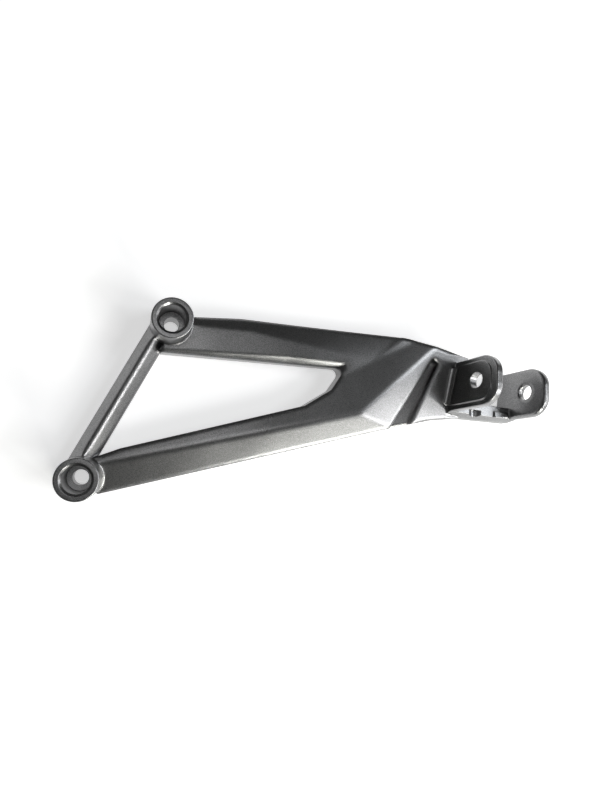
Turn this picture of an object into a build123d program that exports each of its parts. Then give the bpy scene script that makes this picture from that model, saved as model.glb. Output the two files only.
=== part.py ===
from build123d import *
import os

os.makedirs("parts", exist_ok=True)

# The lower bolt boss stands on the origin with its rear face on z = 0.
# X runs along the lower arm to the clevis, Y to the upper boss, Z out to the rider's side.

# bolt bosses
bolt_dx = 47.6
bolt_dy = 87.2
boss_d = 23.0
boss_draft = 0.8
lower_boss_h = 31.0
upper_boss_h = 34.0
bolt_hole_d = 8.8
head_bore_d = 15.0
head_mouth_d = 17.4
head_mouth_h = 3.0
boss_rim_r = 0.8
lower_seat_h = 10.0
upper_seat_h = 14.0

# arms
arm_back = 3.5
arm_front = 15.5
strut_outer = 11.0
strut_ridge = 4.6
strut_inner = 2.2
strut_eaves = 8.5
strut_ridge_r = 1.2
bevel_fall = 0.42
lower_fall = 0.47
crest_r = 5.0
top_turn_r = 60.0
low_turn_r = 25.0

# clevis, set by the centre of the pin hole in the outer face of the near ear
pin_x = 235.6
pin_y = 58.1
pin_z = 32.3
clevis_yaw = 14.0
clevis_pitch = 5.0
clevis_roll = -8.0
pin_hole_d = 10.4
ear_t = 4.8
ear_gap = 39.0
ear_up = 15.5
ear_down = 16.8
ear_reach = 16.6
ear_root = 26.0
ear_corner_r = 12.5
ear_edge_r = 0.8
ear_blend_r = 4.0
pad_inset = 3.2
pad_h = 0.9
stop_w = 7.5
stop_near = 23.5
stop_far = 12.0
stop_skirt_near = 2.7
stop_skirt_far = 1.2
notch_x = 18.0
notch_up = 1.5
notch_r = 4.6
notch_in = 3.2
lug_start = 31.0
lug_end = 42.0
lug_h = 1.5
lug_in = 3.8

# crest of the lower arm: foot by the boss, elbow, head at the upper outline
crest_foot = Vector(11.0, 7.7, 13.6)
crest_elbow = Vector(pin_x - 74.1, pin_y - 21.5, 19.1)
crest_head = Vector(pin_x - 24.8, pin_y + 18.4, 17.0)
end_face_low = Vector(pin_x - 5.5, pin_y - 2.8, 10.6)
bevel_start = Vector(bolt_dx + 11.9, bolt_dy + 0.6, arm_front)
bevel_knee = Vector(bolt_dx + 47.6, bolt_dy - 1.3, arm_front)

# groove in the end face
groove_top = Vector(pin_x - 21.0, pin_y + 15.1, 0)
groove_foot = Vector(pin_x - 53.6, pin_y - 33.1, 0)
groove_top_w = 5.2
groove_foot_w = 12.5
groove_depth = 2.6
groove_edge_r = 0.8

# turns of the outline along the arms
low_bend = (pin_x - 58.8, pin_y - 31.7)
low_turn = (pin_x - 21.4, pin_y - 24.9)
top_turn = (pin_x - 40.1, pin_y + 27.8)
top_bend = (bolt_dx + 40.8, bolt_dy + 6.0)

# reach of the blanks that the facets are cut from, and of the blocks that cut them
wide = bolt_dx + pin_x
cut = 6 * wide

lower_bolt = Vector(0, 0, 0)
upper_bolt = Vector(bolt_dx, bolt_dy, 0)
strut_len = (upper_bolt - lower_bolt).length
clevis_at = Pos(pin_x, pin_y, pin_z) * Rot(0, clevis_yaw, 0) * Rot(-clevis_pitch, 0, 0) * Rot(0, 0, clevis_roll)

# planes of the facets, each named for the face it leaves
crest_1 = crest_elbow - crest_foot
crest_2 = crest_head - crest_elbow
inner_face = Plane(origin=crest_elbow, x_dir=crest_1, z_dir=crest_1.cross(crest_2))
under_dir = Vector(crest_1.Y, -crest_1.X, 0).normalized() - Vector(0, 0, lower_fall)
under_face = Plane(origin=crest_elbow, x_dir=crest_1, z_dir=under_dir.cross(crest_1))
end_face = Plane(origin=crest_elbow, x_dir=crest_2, z_dir=(end_face_low - crest_elbow).cross(crest_2))

# height of a facet over a point seen from the front
def height_on(plane, x, y):
    away = (x - plane.origin.X) * plane.z_dir.X + (y - plane.origin.Y) * plane.z_dir.Y
    return plane.origin.Z - away / plane.z_dir.Z


# end of the long bevel, on the valley where the inner face meets the flat front
bevel_end_x = pin_x - 64.0
bevel_end_y = pin_y + 9.0
bevel_over = height_on(inner_face, bevel_end_x, bevel_end_y) - arm_front
bevel_end_y += bevel_over / (height_on(inner_face, 0, 0) - height_on(inner_face, 0, 1.0))
bevel_end = Vector(bevel_end_x, bevel_end_y, arm_front)

with BuildPart() as clevis:
    # two ears with rounded rims, in the frame of the pin hole: X along the pin, Z to the peg
    for start, reach in ((0.0, ear_reach), (ear_t + ear_gap, ear_reach - 1.1)):
        with BuildSketch(Plane.YZ.offset(start)):
            with BuildLine():
                Polyline((-ear_down, -ear_root - 10.0), (-ear_down, reach),
                         (ear_up, reach), (ear_up, -ear_root - 10.0), close=True)
            make_face()
            fillet(vertices().group_by(Axis.Y)[-1], ear_corner_r)
        extrude(amount=ear_t)
    rims = clevis.edges().filter_by(lambda e: e.center().Z > -ear_root and abs(e.tangent_at(0.5).X) < 0.5)
    fillet(rims, ear_edge_r)

    # raised pad on the near ear
    pad_reach = ear_reach - 1.4 * pad_inset
    with BuildSketch(Plane.YZ):
        with BuildLine():
            Polyline((pad_inset - ear_down, -ear_root - 6.0), (pad_inset - ear_down, pad_reach),
                     (ear_up - pad_inset, pad_reach), (ear_up - pad_inset, -ear_root - 6.0), close=True)
        make_face()
        fillet(vertices().group_by(Axis.Y)[-1], ear_corner_r - pad_inset)
    extrude(amount=-pad_h, taper=25.0)

    # stop that joins the ears below
    stop_len = 2 * ear_t + ear_gap
    for at, top, skirt in ((0.0, -stop_near, stop_skirt_near), (stop_len, -stop_far, stop_skirt_far)):
        with BuildSketch(Plane.YZ.offset(at)):
            with BuildLine():
                Polyline((-ear_down, top), (-ear_down + stop_w, top), (-ear_down + stop_w, -44.0),
                         (-ear_down - skirt, -44.0), (-ear_down - skirt, top - 7.0), close=True)
            make_face()
    loft(ruled=True)

    # notch in the front lip of the stop, and the lug that the folded peg rests on
    stop_rise = (stop_near - stop_far) / stop_len
    with BuildSketch(Plane.XZ.offset(ear_down + 5.0)):
        with Locations((notch_x, notch_x * stop_rise - stop_near + notch_up)):
            Circle(notch_r)
    extrude(amount=-5.0 - notch_in, mode=Mode.SUBTRACT)
    lug_low = lug_start * stop_rise - stop_near
    lug_high = lug_end * stop_rise - stop_near
    with BuildSketch(Plane.XZ.offset(ear_down)):
        with BuildLine():
            Polyline((lug_start, lug_low - 1.0), (lug_start + 1.2, lug_low + lug_h),
                     (lug_end, lug_high + lug_h), (lug_end, lug_high - 1.0), close=True)
        make_face()
    extrude(amount=-lug_in)

with BuildPart() as hanger:
    # lower arm and clevis end under the tilted inner face
    with BuildSketch(Plane.XY.offset(arm_back)):
        with BuildLine():
            Polyline((0, 0), (0, -wide), (wide, -wide), (wide, wide), (bolt_dx + 52.4, wide),
                     (bolt_dx + 52.4, 50.0), (60.0, 30.0), (4.0, 10.0), close=True)
        make_face()
    extrude(amount=30.0)
    with Locations(Location(inner_face)):
        Box(cut, cut, cut, align=(Align.CENTER, Align.CENTER, Align.MIN), mode=Mode.SUBTRACT)

    # upper arm with its flat face
    with BuildSketch(Plane.XY.offset(arm_back)):
        with BuildLine():
            Polyline((bolt_dx, bolt_dy), (bolt_dx, wide), (wide, wide), (wide, bolt_dy + 32.8),
                     (pin_x - 77.6, pin_y + 2.4), (bolt_dx + 52.4, 55.0), (bolt_dx - 7.1, bolt_dy - 19.2), close=True)
        make_face()
    extrude(amount=arm_front - arm_back)

    # long bevel down to the upper outline, flattening out on the crest
    bevel_run = (bevel_knee - bevel_start).normalized()
    bevel_dip = Vector(-bevel_run.Y, bevel_run.X, 0) - Vector(0, 0, bevel_fall)
    with Locations(Location(Plane(origin=bevel_knee, x_dir=bevel_run, z_dir=bevel_run.cross(bevel_dip)))):
        Box(cut, cut, cut, align=(Align.MAX, Align.CENTER, Align.MIN), mode=Mode.SUBTRACT)
    with BuildSketch(Plane(origin=bevel_knee, x_dir=(-bevel_run.Y, bevel_run.X, 0), z_dir=bevel_run)):
        with BuildLine():
            Polyline((0, 0), (60.0, -60.0 * bevel_fall), (60.0, 30.0), (0, 30.0), close=True)
        make_face()
    with BuildSketch(Plane(origin=bevel_end, x_dir=crest_2, z_dir=crest_2.cross(Vector(0, 0, 1)))):
        with BuildLine():
            Polyline((0, 0), (90.0, 0), (90.0, 30.0), (0, 30.0), close=True)
        make_face()
    loft(ruled=True, mode=Mode.SUBTRACT)

    # under face of the lower arm and the end face beside the clevis
    with Locations(Location(under_face)):
        Box(cut, cut, cut, align=(Align.CENTER, Align.CENTER, Align.MIN), mode=Mode.SUBTRACT)
    with Locations(Location(end_face)):
        Box(cut, cut, cut, align=(Align.CENTER, Align.CENTER, Align.MIN), mode=Mode.SUBTRACT)

    # the crests are rounded while the facets still run past the outline
    fillet(hanger.edges().filter_by(lambda e: e.distance_to(crest_elbow) < 0.01), crest_r)

    # outline of both arms seen from the front
    with BuildSketch(Plane.XY):
        with BuildLine():
            Polyline((0, 0), (8.5, -10.0), low_bend, low_turn, (pin_x + 1.4, pin_y - 23.3),
                     (pin_x + 6.9, pin_y + 16.7), top_turn, top_bend, (bolt_dx + 5.1, bolt_dy + 5.2),
                     (bolt_dx, bolt_dy), (bolt_dx - 7.1, bolt_dy - 19.2), (bolt_dx + 52.4, 57.0),
                     (60.0, 30.0), (4.0, 10.0), close=True)
        make_face()
        for turn in (low_bend, low_turn):
            fillet(vertices().sort_by_distance(turn)[0], low_turn_r)
        for turn in (top_turn, top_bend):
            fillet(vertices().sort_by_distance(turn)[0], top_turn_r)
    extrude(amount=40.0, mode=Mode.INTERSECT)

    # window between the arms, its upper and right edges bevelled to the front
    with BuildSketch(Plane.XY.offset(arm_back)):
        with BuildLine():
            Polyline((12.2, 13.9), (pin_x - 108.1, pin_y - 16.8), (pin_x - 91.1, pin_y - 6.8),
                     (pin_x - 81.3, pin_y + 6.8), (bolt_dx - 7.1, bolt_dy - 16.1), close=True)
        make_face()
        fillet(vertices().sort_by(Axis.X)[:2], 3.0)
        fillet(vertices().sort_by(Axis.X)[-1], 3.5)
    extrude(amount=30.0, both=True, mode=Mode.SUBTRACT)
    with BuildSketch(Plane.XY.offset(arm_front)):
        with BuildLine():
            Polyline((bolt_dx - 7.6, bolt_dy - 14.3), (bolt_dx + 71.4, bolt_dy - 16.3),
                     (pin_x - 79.1, pin_y + 9.9), (pin_x - 95.1, pin_y - 10.6),
                     (bolt_dx + 47.4, bolt_dy - 42.2), (bolt_dx - 2.6, bolt_dy - 32.2), close=True)
        make_face()
    with BuildSketch(Plane.XY.offset(arm_back)):
        with BuildLine():
            Polyline((bolt_dx - 1.6, bolt_dy - 26.2), (bolt_dx + 69.4, bolt_dy - 28.0),
                     (pin_x - 102.6, pin_y - 0.6), (pin_x - 110.6, pin_y - 11.3),
                     (bolt_dx + 44.4, bolt_dy - 41.7), (bolt_dx + 2.4, bolt_dy - 33.2), close=True)
        make_face()
    loft(ruled=True, mode=Mode.SUBTRACT)

    # strut between the bosses with a roof-shaped front
    with BuildSketch(Plane(origin=lower_bolt, x_dir=(-bolt_dy, bolt_dx, 0), z_dir=upper_bolt)):
        with BuildLine():
            Polyline((strut_outer, arm_back), (strut_outer, strut_eaves), (strut_ridge, arm_front),
                     (-strut_inner, strut_eaves + 1.0), (-strut_inner, arm_back), close=True)
        make_face()
        fillet(vertices().sort_by_distance((strut_ridge, arm_front))[0], strut_ridge_r)
    extrude(amount=strut_len)

    # groove down the end face, deepest along its left side, with soft edges
    groove_run = groove_top - groove_foot
    groove_side = Vector(groove_run.Y, -groove_run.X, 0).normalized()
    for at, w in ((groove_foot, groove_foot_w), (groove_top, groove_top_w)):
        z = height_on(end_face, at.X, at.Y)
        fall = height_on(end_face, at.X + groove_side.X, at.Y + groove_side.Y) - z
        with BuildSketch(Plane(origin=(at.X, at.Y, z), x_dir=groove_side, z_dir=groove_run)):
            with BuildLine():
                Polyline((0, 0), (1.6, 1.6 * fall - groove_depth), (w, w * fall),
                         (w, w * fall + 8.0), (0, 8.0), close=True)
            make_face()
    loft(ruled=True, mode=Mode.SUBTRACT)
    groove_edges = hanger.edges(Select.LAST).filter_by(lambda e: e.length > groove_run.length / 2)
    groove_edges = groove_edges.sort_by(Axis.Z)[-2:]
    fillet(groove_edges, groove_edge_r)

    # bolt bosses
    for at, h in ((lower_bolt, lower_boss_h), (upper_bolt, upper_boss_h)):
        with Locations(at):
            Cone(boss_d / 2 + boss_draft, boss_d / 2, h, align=(Align.CENTER, Align.CENTER, Align.MIN))

    # clevis, blended into the end face
    with Locations(clevis_at):
        add(clevis.part)
    fillet(hanger.edges(Select.NEW).sort_by_distance(end_face_low)[0], ear_blend_r)

    # everything ends on the rear plane
    with Locations((120.0, 40.0, 0)):
        Box(cut, cut, cut, align=(Align.CENTER, Align.CENTER, Align.MAX), mode=Mode.SUBTRACT)

    # bolt holes with their head bores, and the pin hole
    for at, h, seat in ((lower_bolt, lower_boss_h, lower_seat_h), (upper_bolt, upper_boss_h, upper_seat_h)):
        with Locations(at):
            Cylinder(bolt_hole_d / 2, h, align=(Align.CENTER, Align.CENTER, Align.MIN), mode=Mode.SUBTRACT)
        with Locations(at + Vector(0, 0, seat)):
            Cylinder(head_bore_d / 2, h, align=(Align.CENTER, Align.CENTER, Align.MIN), mode=Mode.SUBTRACT)
        with Locations(at + Vector(0, 0, h)):
            Cone(head_mouth_d / 2 - head_mouth_h, head_mouth_d / 2, head_mouth_h,
                 align=(Align.CENTER, Align.CENTER, Align.MAX), mode=Mode.SUBTRACT)
    with BuildSketch(Plane(clevis_at * Location(Plane.YZ.offset(-2 * pad_h)))):
        Circle(pin_hole_d / 2)
    extrude(amount=ear_gap + 3 * ear_t + 2 * pad_h, mode=Mode.SUBTRACT)
    rims = hanger.edges().filter_by(GeomType.CIRCLE).filter_by(lambda e: abs(e.radius - boss_d / 2) < 0.01)
    fillet(rims, boss_rim_r)

hanger.part.label = "hanger"
export_step(hanger.part, "parts/hanger.step")
print(hanger.part.volume, hanger.part.bounding_box())
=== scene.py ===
import bpy
import math
from mathutils import Matrix, Vector


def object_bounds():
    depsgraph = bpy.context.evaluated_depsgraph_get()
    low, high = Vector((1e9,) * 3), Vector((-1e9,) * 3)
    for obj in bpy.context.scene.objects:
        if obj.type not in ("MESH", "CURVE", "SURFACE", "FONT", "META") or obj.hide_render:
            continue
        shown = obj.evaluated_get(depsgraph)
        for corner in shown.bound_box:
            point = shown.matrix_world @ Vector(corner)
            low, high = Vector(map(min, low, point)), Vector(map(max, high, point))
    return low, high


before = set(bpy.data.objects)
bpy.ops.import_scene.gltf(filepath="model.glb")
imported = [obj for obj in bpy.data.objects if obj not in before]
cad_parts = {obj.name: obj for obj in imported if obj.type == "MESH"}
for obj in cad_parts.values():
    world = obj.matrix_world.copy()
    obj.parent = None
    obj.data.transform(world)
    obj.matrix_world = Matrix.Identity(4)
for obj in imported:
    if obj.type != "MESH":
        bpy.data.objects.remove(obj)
cad_low, cad_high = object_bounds()

# The hanger is one aluminium casting: two bolt bosses, a triangle of arms and
# a forked clevis. It is shot-blasted after casting and sprayed with a satin
# gunmetal paint that carries fine metal flake and leaves a faint orange peel.
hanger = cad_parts["hanger"]

gunmetal = bpy.data.materials.new("satin_gunmetal_paint")
gunmetal.use_nodes = True
paint_nodes = gunmetal.node_tree.nodes
paint_links = gunmetal.node_tree.links
paint = paint_nodes["Principled BSDF"]
paint.inputs["Metallic"].default_value = 1.0

place = paint_nodes.new("ShaderNodeTexCoord")


def grain(per_metre, detail):
    noise = paint_nodes.new("ShaderNodeTexNoise")
    noise.inputs["Scale"].default_value = per_metre
    noise.inputs["Detail"].default_value = detail
    paint_links.new(place.outputs["Object"], noise.inputs["Vector"])
    return noise


flake = grain(per_metre=2600.0, detail=2.0)
flake_tone = paint_nodes.new("ShaderNodeValToRGB")
dark_flake, bright_flake = flake_tone.color_ramp.elements
dark_flake.position = 0.36
dark_flake.color = (0.165, 0.165, 0.167, 1)
bright_flake.position = 0.66
bright_flake.color = (0.335, 0.335, 0.337, 1)
paint_links.new(flake.outputs["Fac"], flake_tone.inputs["Fac"])
paint_links.new(flake_tone.outputs["Color"], paint.inputs["Base Color"])

gloss_drift = grain(per_metre=45.0, detail=3.0)
roughness = paint_nodes.new("ShaderNodeMapRange")
roughness.inputs["To Min"].default_value = 0.25
roughness.inputs["To Max"].default_value = 0.33
paint_links.new(gloss_drift.outputs["Fac"], roughness.inputs["Value"])
paint_links.new(roughness.outputs["Result"], paint.inputs["Roughness"])

peel = grain(per_metre=900.0, detail=3.0)
flow = grain(per_metre=16.0, detail=1.0)

# The long edges of the arms are rounded in the mould by about 4 mm; round the
# bores and on the ears the edges are crisper. All of these are in metres.
lower_bore = (0.0, 0.0, 0.0)
upper_bore = (0.0476, 0.0872, 0.0)
clevis_middle = (0.249, 0.055, 0.0)
clevis_extra_reach = 0.014
crisp_out_to = 0.0115
moulded_from = 0.0165
crisp_radius = 0.0006
moulded_radius = 0.0040

in_plan = paint_nodes.new("ShaderNodeVectorMath")
in_plan.operation = "MULTIPLY"
in_plan.inputs[1].default_value = (1.0, 1.0, 0.0)
paint_links.new(place.outputs["Object"], in_plan.inputs[0])


def distance_in_plan(middle):
    distance = paint_nodes.new("ShaderNodeVectorMath")
    distance.operation = "DISTANCE"
    distance.inputs[1].default_value = middle
    paint_links.new(in_plan.outputs["Vector"], distance.inputs[0])
    return distance


def nearer(first, second):
    least = paint_nodes.new("ShaderNodeMath")
    least.operation = "MINIMUM"
    paint_links.new(first.outputs["Value"], least.inputs[0])
    paint_links.new(second.outputs["Value"], least.inputs[1])
    return least


from_lower_bore = distance_in_plan(lower_bore)
from_upper_bore = distance_in_plan(upper_bore)
from_clevis = distance_in_plan(clevis_middle)

clevis_rim = paint_nodes.new("ShaderNodeMath")
clevis_rim.operation = "SUBTRACT"
clevis_rim.inputs[1].default_value = clevis_extra_reach
paint_links.new(from_clevis.outputs["Value"], clevis_rim.inputs[0])

nearest_bore = nearer(from_lower_bore, from_upper_bore)
nearest_detail = nearer(nearest_bore, clevis_rim)

edge_radius = paint_nodes.new("ShaderNodeMapRange")
edge_radius.inputs["From Min"].default_value = crisp_out_to
edge_radius.inputs["From Max"].default_value = moulded_from
edge_radius.inputs["To Min"].default_value = crisp_radius
edge_radius.inputs["To Max"].default_value = moulded_radius
paint_links.new(nearest_detail.outputs["Value"], edge_radius.inputs["Value"])

soft_edges = paint_nodes.new("ShaderNodeBevel")
soft_edges.samples = 12
paint_links.new(edge_radius.outputs["Result"], soft_edges.inputs["Radius"])


def relief(height, under, strength, depth):
    bump = paint_nodes.new("ShaderNodeBump")
    bump.inputs["Strength"].default_value = strength
    bump.inputs["Distance"].default_value = depth
    paint_links.new(height.outputs["Fac"], bump.inputs["Height"])
    paint_links.new(under.outputs["Normal"], bump.inputs["Normal"])
    return bump


cast_flow = relief(flow, soft_edges, strength=0.5, depth=0.0022)
cast_skin = relief(peel, cast_flow, strength=0.12, depth=0.0002)
paint_links.new(cast_skin.outputs["Normal"], paint.inputs["Normal"])

hanger.data.materials.clear()
hanger.data.materials.append(gunmetal)

# The floor is a sheet of white studio paper that the casting lies on, resting
# on the rear faces of its bosses and the foot of the clevis. It carries no
# part of the object.
part_middle = Vector((0.14, 0.04, 0.01))
paper_width = 12.0
paper_gap = 0.0001
paper_lift = 0.56

bpy.ops.mesh.primitive_plane_add(
    size=paper_width,
    location=(part_middle.x, part_middle.y, cad_low.z - paper_gap),
)
paper_floor = bpy.context.object
paper_floor.name = "paper_floor"

white_paper = bpy.data.materials.new("white_paper")
white_paper.use_nodes = True
paper_nodes = white_paper.node_tree.nodes
paper_links = white_paper.node_tree.links
sheet = paper_nodes["Principled BSDF"]
sheet.inputs["Base Color"].default_value = (0.86, 0.86, 0.86, 1)
sheet.inputs["Roughness"].default_value = 0.9
sheet.inputs["Specular IOR Level"].default_value = 0.1

# The camera sees the paper lifted to white, and so do reflections and clear
# pieces. The metal mirrors it; the paper's diffuse light isn't lifted.
seen = paper_nodes.new("ShaderNodeLightPath")
lift = paper_nodes.new("ShaderNodeEmission")
lift.inputs["Color"].default_value = (1, 1, 1, 1)
seen_or_mirrored = paper_nodes.new("ShaderNodeMath")
seen_or_mirrored.operation = "ADD"
paper_links.new(seen.outputs["Is Camera Ray"], seen_or_mirrored.inputs[0])
paper_links.new(seen.outputs["Is Glossy Ray"], seen_or_mirrored.inputs[1])
seen_any_way = paper_nodes.new("ShaderNodeMath")
seen_any_way.operation = "ADD"
seen_any_way.use_clamp = True
paper_links.new(seen_or_mirrored.outputs["Value"], seen_any_way.inputs[0])
paper_links.new(seen.outputs["Is Transmission Ray"], seen_any_way.inputs[1])
seen_level = paper_nodes.new("ShaderNodeMath")
seen_level.operation = "MULTIPLY"
seen_level.inputs[1].default_value = paper_lift
paper_links.new(seen_any_way.outputs["Value"], seen_level.inputs[0])
paper_links.new(seen_level.outputs["Value"], lift.inputs["Strength"])
both = paper_nodes.new("ShaderNodeAddShader")
paper_links.new(sheet.outputs["BSDF"], both.inputs[0])
paper_links.new(lift.outputs["Emission"], both.inputs[1])
paper_links.new(both.outputs["Shader"], paper_nodes["Material Output"].inputs["Surface"])
paper_floor.data.materials.append(white_paper)

# The studio is dim. A wide softbox low in front of the lower arm and a key
# beyond the clevis light the faces that lean right and down; three weaker
# ones lift the end face, the rims, and the upward faces with their rings.
fill_level = 0.08
lamp_distance = 1.3

studio = bpy.data.worlds.new("studio")
studio.use_nodes = True
backdrop = studio.node_tree.nodes["Background"]
backdrop.inputs["Color"].default_value = (1.0, 1.0, 1.0, 1)
backdrop.inputs["Strength"].default_value = fill_level
bpy.context.scene.world = studio


def softbox(name, turn, rise, width, height, power, colour):
    lamp = bpy.data.lights.new(name, "AREA")
    lamp.shape = "RECTANGLE"
    lamp.size = width
    lamp.size_y = height
    lamp.energy = power
    lamp.color = colour
    rig = bpy.data.objects.new(name, lamp)
    bpy.context.collection.objects.link(rig)
    away = Vector((lamp_distance, 0.0, 0.0))
    away.rotate(Matrix.Rotation(math.radians(-rise), 3, "Y"))
    away.rotate(Matrix.Rotation(math.radians(turn), 3, "Z"))
    rig.location = part_middle + away
    rig.rotation_euler = (-away).to_track_quat("-Z", "Y").to_euler()


# Turn and rise in degrees, width and height in metres, power in watts.
softbox("low_softbox", 298.0, 20.0, 0.60, 0.36, 12.2, (1.0, 1.0, 0.94))
softbox("key_softbox", 330.0, 36.0, 0.50, 0.40, 7.6, (1.0, 1.0, 1.0))
softbox("end_softbox", 12.0, 46.0, 0.45, 0.45, 3.8, (0.94, 0.97, 1.0))
softbox("rim_softbox", 357.0, 15.0, 0.50, 0.40, 2.8, (1.0, 1.0, 1.0))
softbox("top_softbox", 130.0, 84.0, 0.40, 0.40, 0.90, (1.0, 1.0, 1.0))

# The camera looks down on the lying part from above its bolted end, as the
# photograph does, so both bores open towards it and the ears lean away.
camera_data = bpy.data.cameras.new("camera")
camera_data.lens = 25.2
camera_data.sensor_width = 36.0
camera = bpy.data.objects.new("camera", camera_data)
bpy.context.collection.objects.link(camera)
camera.location = (0.03672, 0.02227, 0.3434)
camera.rotation_euler = (math.radians(3.780), math.radians(-14.964), 0.0)
bpy.context.scene.camera = camera
bpy.context.scene.view_settings.view_transform = "Standard"
